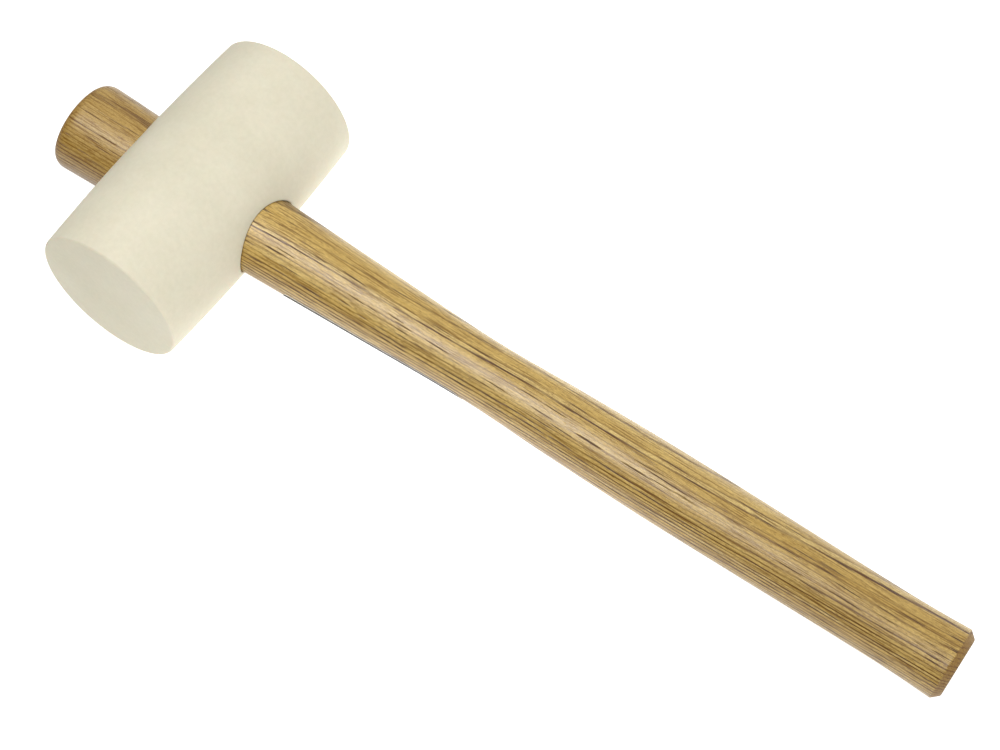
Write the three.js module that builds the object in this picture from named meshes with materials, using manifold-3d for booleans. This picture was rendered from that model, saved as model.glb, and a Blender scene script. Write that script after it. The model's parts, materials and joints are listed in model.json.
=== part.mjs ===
// A rubber mallet lying at rest: a barrel-shaped moulded rubber head on an oval oak handle that runs right
// through it, with a paper label round the underside of the grip. Millimetres, Z up. The head's axis lies
// along Y. The handle points along +X and droops until its butt touches the surface the head lies on. The
// origin is on that surface, under the middle of the whole tool.
import * as THREE from "three";
import { mergeVertices } from "three/addons/utils/BufferGeometryUtils.js";
import Module from "manifold-3d";

// Head: a body of revolution about Y, fullest halfway between its two flat striking faces.
const HEAD_LENGTH = 111.4;
const BELLY_RADIUS = 32;
const FACE_RADIUS = 30.5;
const FACE_EDGE_ROUND = 1;

// Handle: measured along its own axis from the head's axis, towards the butt.
const TOP_END = -57;
const BUTT_END = 333;
const TOP_EDGE_DEPTH = 4;
const TOP_EDGE_INSET = 2.5;
const BUTT_CHAMFER = 2.8;
const THICKNESS_PER_WIDTH = 0.855;
// Half the handle's width at each place along it.
const HALF_WIDTHS = [
  [TOP_END, 19.2],
  [-32, 18.4],
  [0, 17.2],
  [42, 15.75],
  [86, 14.2],
  [130, 12.9],
  [170, 13.95],
  [210, 14.5],
  [250, 14.2],
  [295, 13.8],
  [315, 13.9],
  [BUTT_END, 14.6],
];

// Bore: the handle's own form, swollen by a clearance, through the head and out of both sides.
const BORE_CLEARANCE = 0.35;
const BORE_REACH = 45;

// Label: a strip along the grip that wraps the underside, short of the handle's widest lines.
const LABEL_START = 50;
const LABEL_END = 130;
const LABEL_GAP = 0.35;
const LABEL_THICKNESS = 0.3;
const LABEL_HALF_WRAP = THREE.MathUtils.degToRad(86);
// Half the width and the depth of the wedge that cuts the label out of a full ring.
const LABEL_WEDGE_REACH = 40;

// How finely the curves are divided.
const HEAD_SEGMENTS = 64;
const HALF_BARREL_STEPS = 6;
const FACE_EDGE_STEPS = 3;
const HANDLE_SEGMENTS = 48;
const HANDLE_SIDE_STEPS = 30;
const TOP_EDGE_STEPS = 4;
const BORE_STEPS = 9;
const LABEL_STEPS = 10;
const SIDE_CURVE_SAMPLES = 240;

// Points closer than this are one corner of a solid.
const WELD_DISTANCE = 1e-4;

const rubber = new THREE.MeshStandardMaterial({ color: 0xe2dcc6, roughness: 0.85, metalness: 0 });
const oak = new THREE.MeshStandardMaterial({ color: 0xc2a068, roughness: 0.42, metalness: 0 });
const paper = new THREE.MeshStandardMaterial({ color: 0x3a3a3c, roughness: 0.6, metalness: 0 });

const wasm = await Module();
wasm.setup();

function toSolid(geometry) {
  const bare = geometry.clone();
  bare.deleteAttribute("normal");
  bare.deleteAttribute("uv");
  const merged = mergeVertices(bare, WELD_DISTANCE);
  return new wasm.Manifold(
    new wasm.Mesh({
      numProp: 3,
      vertProperties: merged.attributes.position.array,
      triVerts: new Uint32Array(merged.index.array),
    }),
  );
}

function toGeometry(solid) {
  const { vertProperties, triVerts } = solid.getMesh();
  const geometry = new THREE.BufferGeometry();
  geometry.setAttribute("position", new THREE.BufferAttribute(vertProperties, 3));
  geometry.setIndex(new THREE.BufferAttribute(triVerts, 1));
  geometry.computeVertexNormals();
  return geometry;
}

function named(name, geometry, material) {
  const mesh = new THREE.Mesh(geometry, material);
  mesh.name = name;
  return mesh;
}

// Points of a quarter ellipse from `start` to `end`. It leaves `start` along the second axis or the first.
function quarterRound(start, end, leavesAlongY, steps) {
  const points = [];
  for (let i = 0; i <= steps; i++) {
    const turn = ((i / steps) * Math.PI) / 2;
    const early = Math.sin(turn);
    const late = 1 - Math.cos(turn);
    points.push(
      new THREE.Vector2(
        THREE.MathUtils.lerp(start.x, end.x, leavesAlongY ? late : early),
        THREE.MathUtils.lerp(start.y, end.y, leavesAlongY ? early : late),
      ),
    );
  }
  return points;
}

// The barrel's side: an arc of a large circle through both face edges and the belly.
function barrelRadius(y) {
  const half = HEAD_LENGTH / 2;
  const sag = BELLY_RADIUS - FACE_RADIUS;
  const arcRadius = (half * half + sag * sag) / (2 * sag);
  return BELLY_RADIUS - arcRadius + Math.sqrt(arcRadius * arcRadius - y * y);
}

function headBlank() {
  const half = HEAD_LENGTH / 2;
  const sideEnd = half - FACE_EDGE_ROUND;
  const edgeRadius = barrelRadius(sideEnd);
  const edge = quarterRound(
    new THREE.Vector2(edgeRadius, sideEnd),
    new THREE.Vector2(edgeRadius - FACE_EDGE_ROUND, half),
    true,
    FACE_EDGE_STEPS,
  );
  const upperHalf = [];
  for (let i = 0; i < HALF_BARREL_STEPS; i++) {
    const y = (sideEnd * i) / HALF_BARREL_STEPS;
    upperHalf.push(new THREE.Vector2(barrelRadius(y), y));
  }
  upperHalf.push(...edge, new THREE.Vector2(0, half));
  const lowerHalf = upperHalf.slice(1).map((p) => new THREE.Vector2(p.x, -p.y));
  return new THREE.LatheGeometry([...lowerHalf.reverse(), ...upperHalf], HEAD_SEGMENTS);
}

const handleSide = new THREE.SplineCurve(
  HALF_WIDTHS.map(([x, w]) => new THREE.Vector2(w, x)),
).getPoints(SIDE_CURVE_SAMPLES);

// Points of the handle's side between two places along it, swollen by `offset`.
function sidePoints(from, to, offset, steps) {
  const points = [];
  for (let i = 0; i <= steps; i++) {
    const x = THREE.MathUtils.lerp(from, to, i / steps);
    const next = Math.max(1, handleSide.findIndex((p) => p.y >= x - WELD_DISTANCE));
    const a = handleSide[next - 1];
    const b = handleSide[next];
    const w = THREE.MathUtils.mapLinear(x, a.y, b.y, a.x, b.x);
    points.push(new THREE.Vector2(w + offset, x));
  }
  return points;
}

// Spins a (half width, place) profile into an oval form along +X, wide in Y and thinner in Z.
function ovalForm(profile) {
  const geometry = new THREE.LatheGeometry(profile, HANDLE_SEGMENTS);
  geometry.rotateZ(-Math.PI / 2);
  geometry.scale(1, 1, THICKNESS_PER_WIDTH);
  return geometry;
}

function handleForm() {
  const side = sidePoints(TOP_END + TOP_EDGE_DEPTH, BUTT_END - BUTT_CHAMFER, 0, HANDLE_SIDE_STEPS);
  const top = side[0];
  const topEdge = quarterRound(
    new THREE.Vector2(top.x - TOP_EDGE_INSET, TOP_END),
    top,
    false,
    TOP_EDGE_STEPS,
  );
  const butt = side[side.length - 1];
  return ovalForm([
    new THREE.Vector2(0, TOP_END),
    ...topEdge,
    ...side.slice(1),
    new THREE.Vector2(butt.x - BUTT_CHAMFER, BUTT_END),
    new THREE.Vector2(0, BUTT_END),
  ]);
}

function boreForm() {
  const side = sidePoints(-BORE_REACH, BORE_REACH, BORE_CLEARANCE, BORE_STEPS);
  return ovalForm([new THREE.Vector2(0, -BORE_REACH), ...side, new THREE.Vector2(0, BORE_REACH)]);
}

function labelForm() {
  const inner = sidePoints(LABEL_START, LABEL_END, LABEL_GAP, LABEL_STEPS);
  const outer = sidePoints(LABEL_START, LABEL_END, LABEL_GAP + LABEL_THICKNESS, LABEL_STEPS);
  const ring = ovalForm([...outer, ...inner.reverse(), outer[0].clone()]);
  const edgeX = LABEL_WEDGE_REACH * Math.sin(LABEL_HALF_WRAP);
  const edgeY = -LABEL_WEDGE_REACH * Math.cos(LABEL_HALF_WRAP);
  const wedge = new THREE.Shape([
    new THREE.Vector2(0, 0),
    new THREE.Vector2(-edgeX, edgeY),
    new THREE.Vector2(-LABEL_WEDGE_REACH, -LABEL_WEDGE_REACH),
    new THREE.Vector2(LABEL_WEDGE_REACH, -LABEL_WEDGE_REACH),
    new THREE.Vector2(edgeX, edgeY),
  ]);
  const prism = new THREE.ExtrudeGeometry(wedge, { depth: BUTT_END, bevelEnabled: false });
  prism.rotateX(Math.PI / 2);
  prism.rotateZ(Math.PI / 2);
  return toGeometry(toSolid(ring).intersect(toSolid(prism)));
}

// The tool is built about the point where the two axes cross, with the handle level.
const tool = new THREE.Group();
tool.add(
  named("head", toGeometry(toSolid(headBlank()).subtract(toSolid(boreForm()))), rubber),
  named("handle", handleForm(), oak),
  named("handle_label", labelForm(), paper),
);

// It then droops about the head until the underside of the butt touches the surface.
const touch = sidePoints(BUTT_END - BUTT_CHAMFER, BUTT_END, 0, 1)[0];
const touchDepth = touch.x * THICKNESS_PER_WIDTH;
const droop =
  Math.asin(BELLY_RADIUS / Math.hypot(touch.y, touchDepth)) - Math.atan2(touchDepth, touch.y);
tool.rotation.y = droop;
tool.position.z = BELLY_RADIUS;
tool.updateMatrixWorld(true);
const extent = new THREE.Box3().setFromObject(tool, true);
tool.position.x = -(extent.min.x + extent.max.x) / 2;

const group = new THREE.Group();
group.add(tool);
export default group;
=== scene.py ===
"""A white rubber mallet lying on a pale studio floor: a barrel-shaped rubber head, an oval oak handle that
runs through it, and a plain label under the grip. Metres, Z up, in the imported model's own frame."""

import json
import math

import bmesh
import bpy
import numpy as np
from mathutils import Matrix, Vector


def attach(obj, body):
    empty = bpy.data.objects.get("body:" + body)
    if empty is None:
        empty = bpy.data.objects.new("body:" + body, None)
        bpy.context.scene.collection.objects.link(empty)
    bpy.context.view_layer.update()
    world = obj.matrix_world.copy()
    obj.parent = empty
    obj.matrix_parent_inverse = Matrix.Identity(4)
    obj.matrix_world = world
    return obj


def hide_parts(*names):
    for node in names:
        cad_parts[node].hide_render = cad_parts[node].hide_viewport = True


MM = 0.001
FULL_TURN = 2 * math.pi
QUARTER_TURN = math.pi / 2

# Camera: looks down on the tool from between the near face and the butt, with a slight roll. Metres and
# degrees, with the lens and its sensor in millimetres.
CAMERA_TARGET = (-0.0020, 0.0046, 0.020)
CAMERA_AZIMUTH = 33.63
CAMERA_ELEVATION = 59.57
CAMERA_ROLL = 0.5
CAMERA_DISTANCE = 0.855
CAMERA_LENS = 82.69
CAMERA_SENSOR = 36

# The tool's own dimensions in millimetres and degrees, as in its CAD model. Places along the handle are
# measured from the head's axis towards the butt.
FACE_RADIUS = 30.5
FACE_EDGE_ROUND = 1
TOP_END = -57
BUTT_END = 333
TOP_EDGE_DEPTH = 4
TOP_EDGE_INSET = 2.5
BUTT_CHAMFER = 2.8
THICKNESS_PER_WIDTH = 0.855
HALF_WIDTHS = [
    (TOP_END, 19.2),
    (-32, 18.4),
    (0, 17.2),
    (42, 15.75),
    (86, 14.2),
    (130, 12.9),
    (170, 13.95),
    (210, 14.5),
    (250, 14.2),
    (295, 13.8),
    (315, 13.9),
    (BUTT_END, 14.6),
]
LABEL_START = 50
LABEL_END = 130
LABEL_HALF_WRAP = 86

# Details that only the visual model has, in millimetres.
BORE_GAP = 0.2
LIP_ROUND = 0.7
LABEL_GAP = 0.03
LABEL_THICKNESS = 0.14
LABEL_MARGIN = 0.3
LABEL_CORNER = 3.0
CHAMFER_SOFTNESS = 0.35
CHAMFER_EDGE_SHIFT = 0.08


# ---------------------------------------------------------------- frame


def tool_placement(record):
    """Where the tool's two axes cross, the handle's droop, and the head's half length and belly radius."""
    mounts = {m["name"]: Vector(m["pos_m"]) for m in record["mounts"]}
    near, far = mounts["striking_face_near"], mounts["striking_face_far"]
    centre = (near + far) / 2
    along = mounts["handle_butt_end"] - mounts["handle_top_end"]
    droop = math.atan2(-along.z, along.x)
    half_length = (far - near).length / 2 / MM
    return centre, droop, half_length, centre.z / MM


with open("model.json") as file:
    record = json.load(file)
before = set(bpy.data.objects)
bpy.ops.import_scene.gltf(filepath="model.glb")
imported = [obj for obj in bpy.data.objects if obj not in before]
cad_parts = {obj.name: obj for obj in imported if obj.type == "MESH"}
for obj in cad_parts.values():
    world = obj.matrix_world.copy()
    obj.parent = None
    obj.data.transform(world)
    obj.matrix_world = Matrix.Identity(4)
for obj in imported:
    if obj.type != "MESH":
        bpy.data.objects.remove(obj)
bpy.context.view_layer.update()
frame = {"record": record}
CENTRE, DROOP, HEAD_HALF, BELLY_RADIUS = tool_placement(frame["record"])
TO_MODEL = Matrix.Translation(CENTRE) @ Matrix.Rotation(DROOP, 4, "Y") @ Matrix.Scale(MM, 4)


# ---------------------------------------------------------------- mesh helpers


def add_object(name, data):
    """A new object in the scene, holding a mesh, a light or a camera."""
    made = bpy.data.objects.new(name, data)
    bpy.context.scene.collection.objects.link(made)
    return made


def make_piece(name, parts):
    """A smooth mesh object from parts in the tool's millimetres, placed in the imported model's frame."""
    mesh = bpy.data.meshes.new(name)
    mesh.from_pydata([TO_MODEL @ Vector(p) for p in parts.points], [], parts.faces)
    solid = bmesh.new()
    solid.from_mesh(mesh)
    bmesh.ops.recalc_face_normals(solid, faces=solid.faces)
    solid.to_mesh(mesh)
    solid.free()
    mesh.polygons.foreach_set("use_smooth", [True] * len(mesh.polygons))
    return add_object(name, mesh)


class MeshParts:
    """Collects rings of points and the faces between them."""

    def __init__(self):
        self.points = []
        self.faces = []

    def add(self, points):
        """Adds points and returns their indices."""
        first = len(self.points)
        self.points.extend(tuple(map(float, p)) for p in points)
        return list(range(first, len(self.points)))

    def join(self, a, b, closed=True):
        """Quads between two rows of equal length."""
        count = len(a) if closed else len(a) - 1
        for i in range(count):
            j = (i + 1) % len(a)
            self.faces.append((a[i], a[j], b[j], b[i]))

    def grow(self, ring, points):
        """Adds the next ring, joins it to the last one and returns it."""
        following = self.add(points)
        self.join(ring, following)
        return following

    def close(self, ring, tip):
        """Adds a middle point, and triangles from a ring to it."""
        middle = self.add([tip])[0]
        for i in range(len(ring)):
            self.faces.append((ring[i], ring[(i + 1) % len(ring)], middle))


def spline_through(points, samples):
    """A uniform Catmull-Rom curve through the points, as an array of samples."""
    p = np.array(points, float)
    last = len(p) - 1
    curve = []
    for t in np.linspace(0, last, samples):
        i = min(int(t), last - 1)
        u = t - i
        a, b, c, d = (p[min(max(k, 0), last)] for k in (i - 1, i, i + 1, i + 2))
        slope_b, slope_c = (c - a) / 2, (d - b) / 2
        curve.append(
            (2 * b - 2 * c + slope_b + slope_c) * u**3
            + (3 * c - 3 * b - 2 * slope_b - slope_c) * u**2
            + slope_b * u
            + b
        )
    return np.array(curve)


HANDLE_CURVE_SAMPLES = 600
HANDLE_CURVE = spline_through(HALF_WIDTHS, HANDLE_CURVE_SAMPLES)


def half_width(x):
    """Half the handle's width at a place along it: the CAD model's spline through HALF_WIDTHS."""
    return np.interp(x, HANDLE_CURVE[:, 0], HANDLE_CURVE[:, 1])


# ---------------------------------------------------------------- head

# The barrel's side is a grid of rows along the head and columns round it. Each mouth of the bore lies in a
# window that is left out of the grid: so many columns to each side, and so many millimetres along the head.
HEAD_COLUMNS = 192
HEAD_ROWS = 92
HALF_TURN_COLUMNS = HEAD_COLUMNS // 2
WINDOW_COLUMNS = 26
WINDOW_REACH = 27

# Rings that fill the window, which crowd towards the mouth, then those of the lip, the bore and the faces.
BLEND_RINGS = 12
BLEND_CROWDING = 1.4
LIP_RINGS = 6
BORE_RINGS = 26
FACE_EDGE_RINGS = 8
FACE_RINGS = 10

# Passes that settle where the bore's edge meets the barrel.
BORE_EDGE_PASSES = 12

# The first ring of a flat end lies this far inside its edge, which keeps the shading flat.
FLAT_MARGIN = 0.4


def barrel_radius(y):
    """The barrel's side: an arc of a large circle through both face edges and the belly."""
    sag = BELLY_RADIUS - FACE_RADIUS
    arc = (HEAD_HALF**2 + sag**2) / (2 * sag)
    return BELLY_RADIUS - arc + np.sqrt(arc**2 - np.square(y))


def barrel_point(y, turn):
    """A point on the side, turned from the direction of the butt towards up."""
    r = barrel_radius(y)
    return (r * math.cos(turn), y, r * math.sin(turn))


def bore_edge(angle, side, spread):
    """Where the bore, widened by spread, leaves the barrel: its place along the head and its turn. side is 1
    for the mouth towards the butt and -1 for the one towards the handle's top end."""
    x = side * BELLY_RADIUS
    for _ in range(BORE_EDGE_PASSES):
        w = half_width(x) + BORE_GAP + spread
        y, z = w * math.cos(angle), w * THICKNESS_PER_WIDTH * math.sin(angle)
        x = side * math.sqrt(barrel_radius(y) ** 2 - z**2)
    return y, math.atan2(z, x)


def bore_wall(angle, x):
    """A point on the bore's wall, at an angle about the handle's axis."""
    w = half_width(x) + BORE_GAP
    return np.array([x, w * math.cos(angle), w * THICKNESS_PER_WIDTH * math.sin(angle)])


def window_loop(rows, side):
    """The (row, column) corners round one mouth's window, in order of their angle about the bore."""
    low, high = rows
    reach = WINDOW_COLUMNS
    loop = [(r, -reach) for r in range(high, low, -1)]
    loop += [(low, c) for c in range(-reach, reach)]
    loop += [(r, reach) for r in range(low, high)]
    loop += [(high, c) for c in range(reach, -reach, -1)]
    if side < 0:
        loop = [(r, HALF_TURN_COLUMNS - c) for r, c in loop]
    return [(r, c % HEAD_COLUMNS) for r, c in loop]


def mouth_rings(parts, grid, places, rows, side):
    """Rings from a window's edge to the bore's mouth and round its lip. Returns the lip's inner ring and the
    angle about the bore of each of its points."""
    facing = 0 if side > 0 else math.pi
    loop = window_loop(rows, side)
    starts, ends, angles = [], [], []
    for r, c in loop:
        turn = FULL_TURN * c / HEAD_COLUMNS
        up = barrel_radius(places[r]) * math.sin(turn)
        angle = math.atan2(up / THICKNESS_PER_WIDTH, places[r])
        mouth_place, mouth_turn = bore_edge(angle, side, LIP_ROUND)
        starts.append((places[r], math.remainder(turn - facing, FULL_TURN)))
        ends.append((mouth_place, math.remainder(mouth_turn - facing, FULL_TURN)))
        angles.append(angle)
    ring = [grid[r][c] for r, c in loop]
    for step in range(1, BLEND_RINGS + 1):
        t = 1 - (1 - step / BLEND_RINGS) ** BLEND_CROWDING
        points = []
        for (y0, turn0), (y1, turn1) in zip(starts, ends):
            turn = turn0 + (turn1 - turn0) * t + facing
            points.append(barrel_point(y0 + (y1 - y0) * t, turn))
        ring = parts.grow(ring, points)
    return lip_rings(parts, ring, angles, side), angles


def lip_rings(parts, ring, angles, side):
    """Rings round a mouth's lip, from the barrel to the bore's wall, rounding off their sharp corner."""
    outers = [np.array(barrel_point(*bore_edge(a, side, LIP_ROUND))) for a in angles]
    corners = [np.array(barrel_point(*bore_edge(a, side, 0))) for a in angles]
    inners = [bore_wall(a, c[0] - side * LIP_ROUND) for a, c in zip(angles, corners)]
    for step in range(1, LIP_RINGS + 1):
        s = step / LIP_RINGS
        points = [
            (1 - s) ** 2 * outer + 2 * s * (1 - s) * corner + s**2 * inner
            for outer, corner, inner in zip(outers, corners, inners)
        ]
        ring = parts.grow(ring, points)
    return ring


def bore_rings(parts, front, rear, angles):
    """The bore's wall, from the front lip's inner ring to the rear lip's."""
    front_xs = [parts.points[k][0] for k in front]
    rear_xs = [parts.points[k][0] for k in rear]
    ring = front
    for step in range(1, BORE_RINGS):
        t = step / BORE_RINGS
        points = [bore_wall(a, x0 * (1 - t) + x1 * t) for a, x0, x1 in zip(angles, front_xs, rear_xs)]
        ring = parts.grow(ring, points)
    parts.join(ring, rear)


def face_cap(parts, ring, end, turns):
    """A striking face: its rounded edge, then flat rings to the middle. end is -1 for the near face."""
    side_end = HEAD_HALF - FACE_EDGE_ROUND
    edge_radius = barrel_radius(side_end)
    profile = []
    for step in range(1, FACE_EDGE_RINGS + 1):
        turn = step / FACE_EDGE_RINGS * QUARTER_TURN
        r = edge_radius - FACE_EDGE_ROUND * (1 - math.cos(turn))
        profile.append((r, side_end + FACE_EDGE_ROUND * math.sin(turn)))
    flat_radius = profile[-1][0]
    profile.append((flat_radius - FLAT_MARGIN, HEAD_HALF))
    profile += [(flat_radius * k / FACE_RINGS, HEAD_HALF) for k in range(FACE_RINGS - 1, 0, -1)]
    for r, y in profile:
        ring = parts.grow(ring, [(r * math.cos(t), end * y, r * math.sin(t)) for t in turns])
    parts.close(ring, (0, end * HEAD_HALF, 0))


def head_piece():
    """The rubber head, with its bore."""
    parts = MeshParts()
    side_end = HEAD_HALF - FACE_EDGE_ROUND
    places = np.linspace(-side_end, side_end, HEAD_ROWS + 1)
    turns = np.linspace(0, FULL_TURN, HEAD_COLUMNS, endpoint=False)
    grid = [parts.add([barrel_point(y, t) for t in turns]) for y in places]
    low = int(np.searchsorted(places, -WINDOW_REACH))
    high = HEAD_ROWS - low
    for r in range(HEAD_ROWS):
        for c in range(HEAD_COLUMNS):
            off_front = min(c, HEAD_COLUMNS - 1 - c)
            off_rear = min((c - HALF_TURN_COLUMNS) % HEAD_COLUMNS, (HALF_TURN_COLUMNS - 1 - c) % HEAD_COLUMNS)
            in_window = low <= r < high and min(off_front, off_rear) < WINDOW_COLUMNS
            if not in_window:
                d = (c + 1) % HEAD_COLUMNS
                parts.faces.append((grid[r][c], grid[r + 1][c], grid[r + 1][d], grid[r][d]))
    front, angles = mouth_rings(parts, grid, places, (low, high), 1)
    rear, _ = mouth_rings(parts, grid, places, (low, high), -1)
    bore_rings(parts, front, rear, angles)
    face_cap(parts, grid[0], -1, turns)
    face_cap(parts, grid[-1], 1, turns)
    return make_piece("rubber_head", parts)


# ---------------------------------------------------------------- handle

HANDLE_COLUMNS = 144
HANDLE_ROW_STEP = 2.0
END_RINGS = 8
TOP_EDGE_RINGS = 8

# The last row of the side stops this far short of the chamfer, clear of its softened edge.
LAST_ROW_GAP = 0.5


def oval(x, width):
    """A ring round the handle's axis."""
    turns = np.linspace(0, FULL_TURN, HANDLE_COLUMNS, endpoint=False)
    return [(x, width * math.cos(t), width * THICKNESS_PER_WIDTH * math.sin(t)) for t in turns]


def chamfer_points(start, width):
    """The butt's 45 degree chamfer. Points a little off its line soften both its edges."""
    soft = CHAMFER_SOFTNESS
    return [
        (start - soft / 3, width),
        (start + soft / 2, width - soft / 2 - CHAMFER_EDGE_SHIFT),
        (start + BUTT_CHAMFER / 2, width - BUTT_CHAMFER / 2),
        (BUTT_END - soft / 2, width - BUTT_CHAMFER + soft / 2 + CHAMFER_EDGE_SHIFT),
        (BUTT_END, width - BUTT_CHAMFER - soft),
    ]


def handle_profile():
    """(place, half width) from the middle of the top end to the middle of the butt."""
    side_start, side_end = TOP_END + TOP_EDGE_DEPTH, BUTT_END - BUTT_CHAMFER
    butt_width = half_width(side_end)
    flat_top = half_width(side_start) - TOP_EDGE_INSET
    flat_butt = butt_width - BUTT_CHAMFER
    profile = [(TOP_END, flat_top * k / END_RINGS) for k in range(1, END_RINGS)]
    profile.append((TOP_END, flat_top - FLAT_MARGIN))
    for step in range(TOP_EDGE_RINGS):
        turn = step / TOP_EDGE_RINGS * QUARTER_TURN
        x = TOP_END + TOP_EDGE_DEPTH * (1 - math.cos(turn))
        profile.append((x, flat_top + TOP_EDGE_INSET * math.sin(turn)))
    rows = round((side_end - side_start) / HANDLE_ROW_STEP)
    profile += [(x, half_width(x)) for x in np.linspace(side_start, side_end - LAST_ROW_GAP, rows)]
    profile += chamfer_points(side_end, butt_width)
    profile += [(BUTT_END, flat_butt * k / END_RINGS) for k in range(END_RINGS - 1, 0, -1)]
    return profile


def handle_piece():
    """The oak handle: ovals along its axis."""
    parts = MeshParts()
    rings = [parts.add(oval(x, w)) for x, w in handle_profile()]
    for a, b in zip(rings, rings[1:]):
        parts.join(a, b)
    parts.close(rings[0], (TOP_END, 0, 0))
    parts.close(rings[-1], (BUTT_END, 0, 0))
    return make_piece("oak_handle", parts)


# ---------------------------------------------------------------- label

LABEL_COLUMNS = 41
LABEL_ROWS = 36
LABEL_CORNER_STEPS = 6

# The evenly spaced rows keep this far from the label's ends, clear of its corners.
LABEL_END_ZONE = 5


def label_point(x, arc, lift):
    """A point on the label: arc is the angle from straight down, lift the height above the wood."""
    w = half_width(x)
    h = w * THICKNESS_PER_WIDTH
    s, c = math.sin(arc), math.cos(arc)
    r = 1 / math.sqrt((s / (w + lift)) ** 2 + (c / (h + lift)) ** 2)
    return (x, r * s, -r * c)


def label_places():
    """Where the label's rows lie along the handle: even in the middle, and closer at the corners."""
    turns = [k / LABEL_CORNER_STEPS * QUARTER_TURN for k in range(LABEL_CORNER_STEPS)]
    offsets = sorted({*(LABEL_CORNER * (1 - math.cos(turn)) for turn in turns), LABEL_MARGIN, LABEL_CORNER})
    middle = np.linspace(LABEL_START + LABEL_END_ZONE, LABEL_END - LABEL_END_ZONE, LABEL_ROWS)
    return [LABEL_START + d for d in offsets] + list(middle) + [LABEL_END - d for d in reversed(offsets)]


def label_sheet(parts, places, lift):
    """Rows of points over one side of the label, cut in at its rounded corners."""
    radius = half_width((LABEL_START + LABEL_END) / 2)
    margin_arc = LABEL_MARGIN / radius
    rows = []
    for x in places:
        depth = min(x - LABEL_START, LABEL_END - x, LABEL_CORNER)
        cut = LABEL_CORNER - math.sqrt(LABEL_CORNER**2 - (LABEL_CORNER - depth) ** 2)
        reach = math.radians(LABEL_HALF_WRAP) - cut / radius
        inner = np.linspace(-reach + margin_arc, reach - margin_arc, LABEL_COLUMNS)
        rows.append(parts.add([label_point(x, a, lift) for a in (-reach, *inner, reach)]))
    return rows


def sheet_rim(rows):
    """The points round a sheet's edge, in order."""
    return [r[0] for r in rows] + rows[-1][1:] + [r[-1] for r in rows[-2::-1]] + rows[0][-2:0:-1]


def label_piece():
    """A thin curved sheet with rounded corners. Returns it, and which faces are its margin and its edge."""
    parts = MeshParts()
    places = label_places()
    outer = label_sheet(parts, places, LABEL_GAP + LABEL_THICKNESS)
    under = label_sheet(parts, places, LABEL_GAP)
    margins = []
    for i, (a, b) in enumerate(zip(outer, outer[1:])):
        first = len(parts.faces)
        parts.join(a, b, closed=False)
        last = len(parts.faces) - 1
        middle = (places[i] + places[i + 1]) / 2
        at_end = min(middle - LABEL_START, LABEL_END - middle) < LABEL_MARGIN
        margins += range(first, last + 1) if at_end else (first, last)
    for a, b in zip(under, under[1:]):
        parts.join(a, b, closed=False)
    rim_first = len(parts.faces)
    parts.join(sheet_rim(outer), sheet_rim(under))
    margins += range(rim_first, len(parts.faces))
    return make_piece("grip_label", parts), margins


# ---------------------------------------------------------------- materials


def srgb(*levels):
    """A colour from display levels of 0 to 255, in linear light."""
    linear = (v / 255 / 12.92 if v <= 10 else ((v / 255 + 0.055) / 1.055) ** 2.4 for v in levels)
    return (*linear, 1.0)


# Tones with their places on the ramps, from dark to pale.
RUBBER_TONES = [
    (0.30, srgb(214, 208, 184)),
    (0.5, srgb(220, 214, 191)),
    (0.7, srgb(226, 220, 198)),
]
WOOD_TONES = [
    (0.34, srgb(192, 155, 70)),
    (0.44, srgb(214, 180, 98)),
    (0.54, srgb(227, 196, 118)),
    (0.66, srgb(237, 210, 139)),
]
HEARTWOOD_BROWN = srgb(150, 116, 44)
STREAK_BROWN = srgb(128, 90, 16)
FIBRE_BROWN = srgb(138, 100, 28)
# Darkens the ends: lacquer soaked into cut end grain, and painted shade on the top end's rounded edge.
SOAKED_AND_SHADED_BROWN = srgb(132, 90, 12)
FLECK_BROWN = srgb(108, 70, 10)
EARLY_WOOD_BROWN = srgb(84, 46, 0)
PORE_BROWN = srgb(62, 30, 0)

# The label's plain dark field and its pale margin in display levels, and how many levels darker they get in
# places.
LABEL_DARK_FIELD = (58, 51, 43)
LABEL_PAPER = (236, 232, 222)
LABEL_MOTTLING = 6

# How far the fibres wander across the handle, from one side to the other, in millimetres.
FIBRE_WANDER = 3

# Half the length over which the butt's cut wood starts at its chamfer, in millimetres.
CUT_START_BLUR = 0.3

# The growth rings lie about the tree's heart, which is this far in millimetres from the handle's axis:
# beyond it on the near face's side, and below it.
TREE_HEART_Y = -63.0
TREE_HEART_Z = -49.0

# How far the rings shift outwards with each millimetre along the handle, and how that itself grows.
RUN_OUT = 0.012
RUN_OUT_GROWTH = 0.00004

# Years in a millimetre at the heart, how many fewer with each millimetre outwards, and by how many years
# the rings are uneven.
YEARS_PER_MM = 2.11
YEARS_THINNING = 0.0096
YEARS_UNEVENNESS = 1.2

# Distances from the heart at which the heartwood starts to fade and has gone, and at which the early wood
# starts to take up less of each year.
HEARTWOOD_FADES = 70
HEARTWOOD_GONE = 86
EARLY_WOOD_THINS = 68

# How many of the pores' cells there are in a millimetre along the handle, and across it both ways.
PORE_CELLS = (0.055, 1.9, 1.9)


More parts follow.
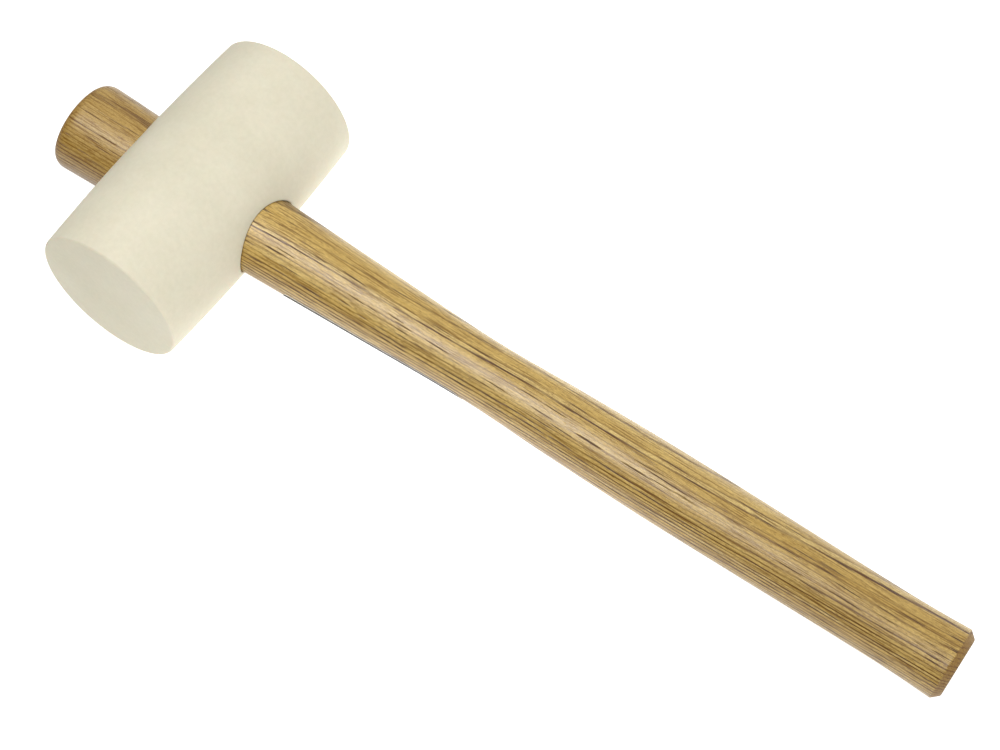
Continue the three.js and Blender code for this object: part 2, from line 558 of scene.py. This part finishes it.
class Graph:
    """A material's node tree, with short calls for the nodes that the looks are made of."""

    def __init__(self, name):
        self.material = bpy.data.materials.new(name)
        self.material.use_nodes = True
        self.tree = self.material.node_tree
        self.shader = self.tree.nodes["Principled BSDF"]

    def node(self, kind, **settings):
        made = self.tree.nodes.new("ShaderNode" + kind)
        for key, value in settings.items():
            setattr(made, key, value)
        return made

    def feed(self, socket, value):
        """Joins an output to a socket, or sets the socket's own value."""
        if isinstance(value, bpy.types.NodeSocket):
            self.tree.links.new(value, socket)
        else:
            socket.default_value = value

    def two_inputs(self, kind, operation, a, b):
        """A node of arithmetic on its first two inputs."""
        made = self.node(kind, operation=operation)
        self.feed(made.inputs[0], a)
        self.feed(made.inputs[1], b)
        return made.outputs

    def math(self, operation, a, b=0.0):
        return self.two_inputs("Math", operation, a, b)[0]

    def plus(self, a, b):
        return self.math("ADD", a, b)

    def minus(self, a, b):
        return self.math("SUBTRACT", a, b)

    def times(self, a, b):
        return self.math("MULTIPLY", a, b)

    def weighted(self, *terms):
        """The sum of values, each times its weight."""
        total = self.times(*terms[0])
        for value, weight in terms[1:]:
            total = self.plus(total, self.times(value, weight))
        return total

    def scaled(self, vector, factors):
        return self.two_inputs("VectorMath", "MULTIPLY", vector, factors)[0]

    def shifted(self, vector, offset):
        return self.two_inputs("VectorMath", "ADD", vector, offset)[0]

    def distance(self, vector, point):
        return self.two_inputs("VectorMath", "DISTANCE", vector, point)["Value"]

    def xyz(self, vector):
        made = self.node("SeparateXYZ")
        self.feed(made.inputs[0], vector)
        return made.outputs

    def tool_millimetres(self):
        """Coordinates in the tool's own frame: X along the handle, Y along the head, Z up."""
        mapping = self.node("Mapping", vector_type="TEXTURE")
        self.feed(mapping.inputs["Vector"], self.node("TexCoord").outputs["Object"])
        mapping.inputs["Location"].default_value = CENTRE
        mapping.inputs["Rotation"].default_value = (0, DROOP, 0)
        mapping.inputs["Scale"].default_value = (MM, MM, MM)
        return mapping.outputs[0]

    def noise(self, vector, scale, detail=2.0, roughness=0.5, output="Fac"):
        """Noise from 0 to 1, or three of them as the output Color."""
        made = self.node("TexNoise")
        self.feed(made.inputs["Vector"], vector)
        made.inputs["Scale"].default_value = scale
        made.inputs["Detail"].default_value = detail
        made.inputs["Roughness"].default_value = roughness
        return made.outputs[output]

    def grain_noise(self, vector, along, across, **settings):
        """Noise that is drawn out along the handle, with its scale per millimetre along it and across it."""
        return self.noise(self.scaled(vector, (along, across, across)), 1.0, **settings)

    def noise_along(self, value, scale):
        """Noise that depends on one number."""
        made = self.node("TexNoise", noise_dimensions="1D")
        self.feed(made.inputs["W"], value)
        made.inputs["Scale"].default_value = scale
        made.inputs["Detail"].default_value = 1
        return made.outputs["Fac"]

    def cells(self, vector):
        """Distance to the nearest of scattered points, that point's own random colour, and its position."""
        made = self.node("TexVoronoi")
        self.feed(made.inputs["Vector"], vector)
        made.inputs["Scale"].default_value = 1.0
        return made.outputs["Distance"], made.outputs["Color"], made.outputs["Position"]

    def span(self, value, low, high, out_low=0.0, out_high=1.0):
        """Maps low..high smoothly onto out_low..out_high, and holds the ends."""
        made = self.node("MapRange", interpolation_type="SMOOTHSTEP")
        self.feed(made.inputs["Value"], value)
        limits = {"From Min": low, "From Max": high, "To Min": out_low, "To Max": out_high}
        for key, number in limits.items():
            made.inputs[key].default_value = number
        return made.outputs[0]

    def ramp(self, value, stops):
        """Maps a value to colours. stops holds (place, colour) pairs."""
        made = self.node("ValToRGB")
        self.feed(made.inputs[0], value)
        elements = made.color_ramp.elements
        for spare in list(elements)[1:]:
            elements.remove(spare)
        elements[0].position, elements[0].color = stops[0]
        for place, colour in stops[1:]:
            elements.new(place).color = colour
        return made.outputs[0]

    def mix(self, amount, a, b):
        """Colour a, turning into colour b as amount goes from 0 to 1."""
        made = self.node("Mix", data_type="RGBA")
        # The node's sockets for colours come after those for numbers and for vectors.
        self.feed(made.inputs[0], amount)
        self.feed(made.inputs[6], a)
        self.feed(made.inputs[7], b)
        return made.outputs[2]

    def bump(self, height, strength, distance):
        made = self.node("Bump")
        self.feed(made.inputs["Height"], height)
        made.inputs["Strength"].default_value = strength
        made.inputs["Distance"].default_value = distance
        return made.outputs[0]

    def finish(self, colour, roughness, normal=None, **plain):
        """Feeds the shader. plain holds values that are the same all over."""
        self.feed(self.shader.inputs["Base Color"], colour)
        self.feed(self.shader.inputs["Roughness"], roughness)
        if normal is not None:
            self.feed(self.shader.inputs["Normal"], normal)
        for key, value in plain.items():
            self.shader.inputs[key.replace("_", " ")].default_value = value
        return self.material


def rubber_material():
    """Cream rubber, with cloudy and fine mottling."""
    g = Graph("cream_rubber")
    at = g.tool_millimetres()
    cloud = g.noise(at, 0.045, detail=3)
    mottle = g.noise(at, 0.5, detail=4, roughness=0.6)
    pitting = g.noise(at, 3.0)
    relief = g.weighted((mottle, 0.6), (pitting, 0.4))
    return g.finish(
        g.ramp(g.weighted((cloud, 0.55), (mottle, 0.45)), RUBBER_TONES),
        g.span(mottle, 0.3, 0.7, 0.62, 0.74),
        g.bump(relief, strength=0.25, distance=0.0002),
        Subsurface_Weight=0.12,
        Subsurface_Scale=0.004,
        Specular_IOR_Level=0.35,
    )


def oak_material():
    """Clear-lacquered oak."""
    g = Graph("lacquered_oak")
    at = g.tool_millimetres()
    # The fibres wander a little from side to side along the handle.
    drift = g.grain_noise(at, 0.011, 0.02, detail=1, output="Color")
    fibres = g.shifted(at, g.scaled(g.shifted(drift, (-0.5, -0.5, -0.5)), (0, FIBRE_WANDER, FIBRE_WANDER)))
    fibre = g.grain_noise(fibres, 0.18, 3.6, roughness=0.65)
    pore = open_pores(g, fibres)
    colour = colour_of_years(g, fibres, fibre)
    colour = g.mix(g.times(ray_flecks(g, fibres), 0.6), colour, FLECK_BROWN)
    colour = g.mix(g.times(pore, 0.9), colour, PORE_BROWN)

    # A little darker towards the top end. The butt's chamfer is cut end grain that soaks up more lacquer, so
    # it is darker still, and duller. The top end is darkened and dulled as well: its end grain soaks up
    # lacquer, and its rounded edge carries painted shade where it faces away from the light.
    place = g.xyz(at)[0]
    colour = g.mix(g.span(place, -35, 5, 0.4, 0.0), colour, SOAKED_AND_SHADED_BROWN)
    chamfer_start = BUTT_END - BUTT_CHAMFER
    # This mask holds the top end's end grain and the painted shade on its rounded edge.
    top_cut_and_shade = g.span(place, TOP_END + 0.5, TOP_END + TOP_EDGE_DEPTH, 1.0, 0.0)
    butt_cut = g.span(place, chamfer_start - CUT_START_BLUR, chamfer_start + CUT_START_BLUR)
    cut = g.math("MAXIMUM", g.times(top_cut_and_shade, 0.7), butt_cut)
    colour = g.mix(g.times(cut, 0.65), colour, SOAKED_AND_SHADED_BROWN)

    # The lacquer is very finely rippled over the fibres, which breaks its shine into specks.
    ripple = g.grain_noise(fibres, 0.9, 4.0)
    colour = g.mix(g.span(ripple, 0.35, 0.65, 0.0, 0.30), colour, FLECK_BROWN)
    relief = g.minus(g.times(g.plus(fibre, ripple), 0.5), pore)
    roughness = g.plus(g.times(g.math("MAXIMUM", pore, cut), 0.25), 0.34)
    return g.finish(colour, roughness, g.bump(relief, strength=0.5, distance=0.0002), Specular_IOR_Level=0.64)


def colour_of_years(g, fibres, fibre):
    """The wood's colour before its pores and rays: bands, streaks and fibres, crossed by each year's line."""
    ring, depth = growth_ring(g, fibres)
    year = g.math("FLOOR", ring)
    streak = g.grain_noise(fibres, 0.03, 1.8, detail=3, roughness=0.65)
    band = g.grain_noise(fibres, 0.004, 0.14)
    tone = g.weighted((band, 0.45), (g.noise_along(year, 0.73), 0.30), (streak, 0.25))
    colour = g.ramp(tone, WOOD_TONES)

    # The wood is browner towards the heart of the tree, and its years are marked more strongly there.
    heart = g.span(depth, HEARTWOOD_FADES, HEARTWOOD_GONE, 1.0, 0.0)
    colour = g.mix(g.times(heart, 0.24), colour, HEARTWOOD_BROWN)
    colour = g.mix(g.span(streak, 0.50, 0.62, 0.0, 0.85), colour, STREAK_BROWN)
    colour = g.mix(g.span(fibre, 0.42, 0.70, 0.0, 0.55), colour, FIBRE_BROWN)

    # Some years' lines are faint, and a line fades in places.
    fading = g.grain_noise(fibres, 0.03, 0.5)
    line = g.times(early_wood(g, ring, depth), g.span(fading, 0.38, 0.60, 0.5, 1.0))
    strength = g.span(g.noise_along(year, 1.37), 0.40, 0.60, 0.25, 1.0)
    line = g.times(line, g.math("MAXIMUM", strength, heart))
    return g.mix(line, colour, EARLY_WOOD_BROWN)


def growth_ring(g, fibres):
    """The year that each point grew in, and its distance from the tree's heart. The years widen outwards,
    and their rings run out of the handle's side."""
    x, y, z = g.xyz(fibres)
    across = g.node("CombineXYZ")
    g.feed(across.inputs[1], g.minus(y, TREE_HEART_Y))
    g.feed(across.inputs[2], g.minus(z, TREE_HEART_Z))
    from_heart = g.node("VectorMath", operation="LENGTH")
    g.feed(from_heart.inputs[0], across.outputs[0])
    run_out = g.times(x, g.plus(g.times(x, RUN_OUT_GROWTH), RUN_OUT))
    depth = g.minus(from_heart.outputs["Value"], run_out)
    years_per_mm = g.minus(YEARS_PER_MM, g.times(depth, YEARS_THINNING))
    unevenness = g.times(g.noise_along(depth, 0.3), YEARS_UNEVENNESS)
    return g.plus(g.times(depth, years_per_mm), unevenness), depth


def early_wood(g, ring, depth):
    """1 at the start of each year's growth, gone after its first third, or its first half near the heart."""
    stretch = g.span(depth, EARLY_WOOD_THINS, HEARTWOOD_GONE, 0.62, 1.0)
    part_of_year = g.times(g.math("FRACT", ring), stretch)
    return g.span(part_of_year, 0.14, 0.30, 1.0, 0.0)


def open_pores(g, fibres):
    """Thin pores about a centimetre long, mostly in the early wood. Each one is kept or dropped whole, by
    where in its year its middle lies."""
    near, random, middle = g.cells(g.scaled(fibres, PORE_CELLS))
    ring, depth = growth_ring(g, g.scaled(middle, tuple(1 / s for s in PORE_CELLS)))
    density = g.plus(g.times(early_wood(g, ring, depth), 0.95), 0.05)
    chosen = g.span(g.minus(density, g.xyz(random)[0]), 0.0, 0.1)
    return g.times(g.span(near, 0.26, 0.46, 1.0, 0.0), chosen)


def ray_flecks(g, fibres):
    """The short flecks of the rays, with about half of them left out."""
    near, random, _ = g.cells(g.scaled(fibres, (0.45, 2.6, 2.6)))
    chosen = g.span(g.xyz(random)[1], 0.3, 0.6)
    return g.times(g.span(near, 0.16, 0.34, 1.0, 0.0), chosen)


def paper_material(name, levels, roughness):
    """Plain coated paper, faintly mottled."""
    g = Graph(name)
    at = g.tool_millimetres()
    speckle = g.noise(at, 2.2, detail=3, roughness=0.7)
    darker = [v - LABEL_MOTTLING for v in levels]
    colour = g.ramp(speckle, [(0.35, srgb(*darker)), (0.65, srgb(*levels))])
    pulp = g.noise(g.scaled(at, (1.0, 1.6, 1.6)), 1.4, detail=3)
    return g.finish(
        colour,
        g.span(speckle, 0.3, 0.7, roughness, roughness + 0.08),
        g.bump(pulp, strength=0.15, distance=0.00008),
        Specular_IOR_Level=0.15,
    )


# ---------------------------------------------------------------- studio

WHITE = (1, 1, 1, 1)
FLOOR_GREY = (0.45, 0.45, 0.45, 1)
FLOOR_HALF_SIZE = 6

# The floor lies just under the tool.
FLOOR_DROP = 0.0002

# The floor's glow fades between these distances from the pool's centre, down to the level outside.
POOL_CENTRE = (0.04, 0.03, 0)
POOL_INNER = 0.27
POOL_OUTER = 0.48
POOL_OUTSIDE = 0.16

# Along the handle the glow rises and then falls. Each is two places and the factors there.
GLOW_RISE = (-0.15, -0.02, 0.88, 1.62)
GLOW_FALL = (0.03, 0.12, 1.0, 0.65)

# The world is brightest in one direction, and black beyond this cosine of the angle from it.
WORLD_BRIGHT_WAY = (0.53, 0.60, 0.60)
WORLD_BLACK_COSINE = -0.6
WORLD_BRIGHTNESS = 0.79

SOFTBOX_DIRECTION = (-0.16, -0.22, 0.94)
SOFTBOX_DISTANCE = 1.2
SOFTBOX_SIZE = (0.62, 0.115)
SOFTBOX_POWER = 8.5


def floor_material():
    """A white table, lit from below in a pool that is brightest under the grip, on the head's side."""
    g = Graph("studio_floor")
    at = g.node("TexCoord").outputs["Object"]
    pool = g.span(g.distance(at, POOL_CENTRE), POOL_INNER, POOL_OUTER, 1.0, POOL_OUTSIDE)
    along = g.xyz(at)[0]
    glow = g.times(g.span(along, *GLOW_RISE), g.span(along, *GLOW_FALL))
    g.feed(g.shader.inputs["Emission Strength"], g.times(pool, glow))
    return g.finish(FLOOR_GREY, 0.8, Emission_Color=WHITE)


def make_camera():
    a, e = math.radians(CAMERA_AZIMUTH), math.radians(CAMERA_ELEVATION)
    back = Vector((math.sin(a) * math.cos(e), -math.cos(a) * math.cos(e), math.sin(e)))
    data = bpy.data.cameras.new("camera")
    data.lens = CAMERA_LENS
    data.sensor_width = CAMERA_SENSOR
    camera = add_object("camera", data)
    position = Matrix.Translation(Vector(CAMERA_TARGET) + back * CAMERA_DISTANCE)
    turn = (-back).to_track_quat("-Z", "Y").to_matrix().to_4x4()
    roll = Matrix.Rotation(math.radians(CAMERA_ROLL), 4, "Z")
    camera.matrix_world = position @ turn @ roll
    bpy.context.scene.camera = camera


def make_floor():
    s = FLOOR_HALF_SIZE
    mesh = bpy.data.meshes.new("floor")
    mesh.from_pydata([(-s, -s, 0), (s, -s, 0), (s, s, 0), (-s, s, 0)], [], [(0, 1, 2, 3)])
    mesh.materials.append(floor_material())
    floor = add_object("floor", mesh)
    floor.location.z = -FLOOR_DROP


def make_softbox():
    """A rectangular area light above the tool, facing it."""
    data = bpy.data.lights.new("overhead", "AREA")
    data.shape = "RECTANGLE"
    data.size, data.size_y = SOFTBOX_SIZE
    data.energy = SOFTBOX_POWER
    light = add_object("overhead", data)
    direction = Vector(SOFTBOX_DIRECTION).normalized()
    light.location = direction * SOFTBOX_DISTANCE
    light.rotation_euler = direction.to_track_quat("Z", "Y").to_euler()


def make_world():
    """A white surrounding that fades from its brightest direction to black."""
    world = bpy.data.worlds.new("studio")
    bpy.context.scene.world = world
    world.use_nodes = True
    tree = world.node_tree
    coordinates = tree.nodes.new("ShaderNodeTexCoord")
    facing = tree.nodes.new("ShaderNodeVectorMath")
    facing.operation = "DOT_PRODUCT"
    facing.inputs[1].default_value = Vector(WORLD_BRIGHT_WAY).normalized()
    brightness = tree.nodes.new("ShaderNodeMapRange")
    brightness.inputs["From Min"].default_value = WORLD_BLACK_COSINE
    brightness.inputs["To Max"].default_value = WORLD_BRIGHTNESS
    background = tree.nodes["Background"]
    background.inputs["Color"].default_value = WHITE
    tree.links.new(coordinates.outputs["Generated"], facing.inputs[0])
    tree.links.new(facing.outputs["Value"], brightness.inputs["Value"])
    tree.links.new(brightness.outputs[0], background.inputs["Strength"])


# ---------------------------------------------------------------- build


def stand_in(piece, node, slot, *materials):
    """Gives a piece its materials, and puts it in the place of a node of the CAD model."""
    for material in materials:
        piece.data.materials.append(material)
    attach(piece, "root")
    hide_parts(node)


make_camera()
make_world()
make_softbox()
make_floor()
bpy.context.scene.view_settings.view_transform = "Standard"

stand_in(head_piece(), "head", "head_rubber", rubber_material())
stand_in(handle_piece(), "handle", "handle_oak", oak_material())
label, label_margins = label_piece()
dark = paper_material("label_field", LABEL_DARK_FIELD, 0.6)
pale = paper_material("label_margin", LABEL_PAPER, 0.5)
stand_in(label, "handle_label", "label_paper", dark, pale)
for face in label_margins:
    label.data.polygons[face].material_index = 1
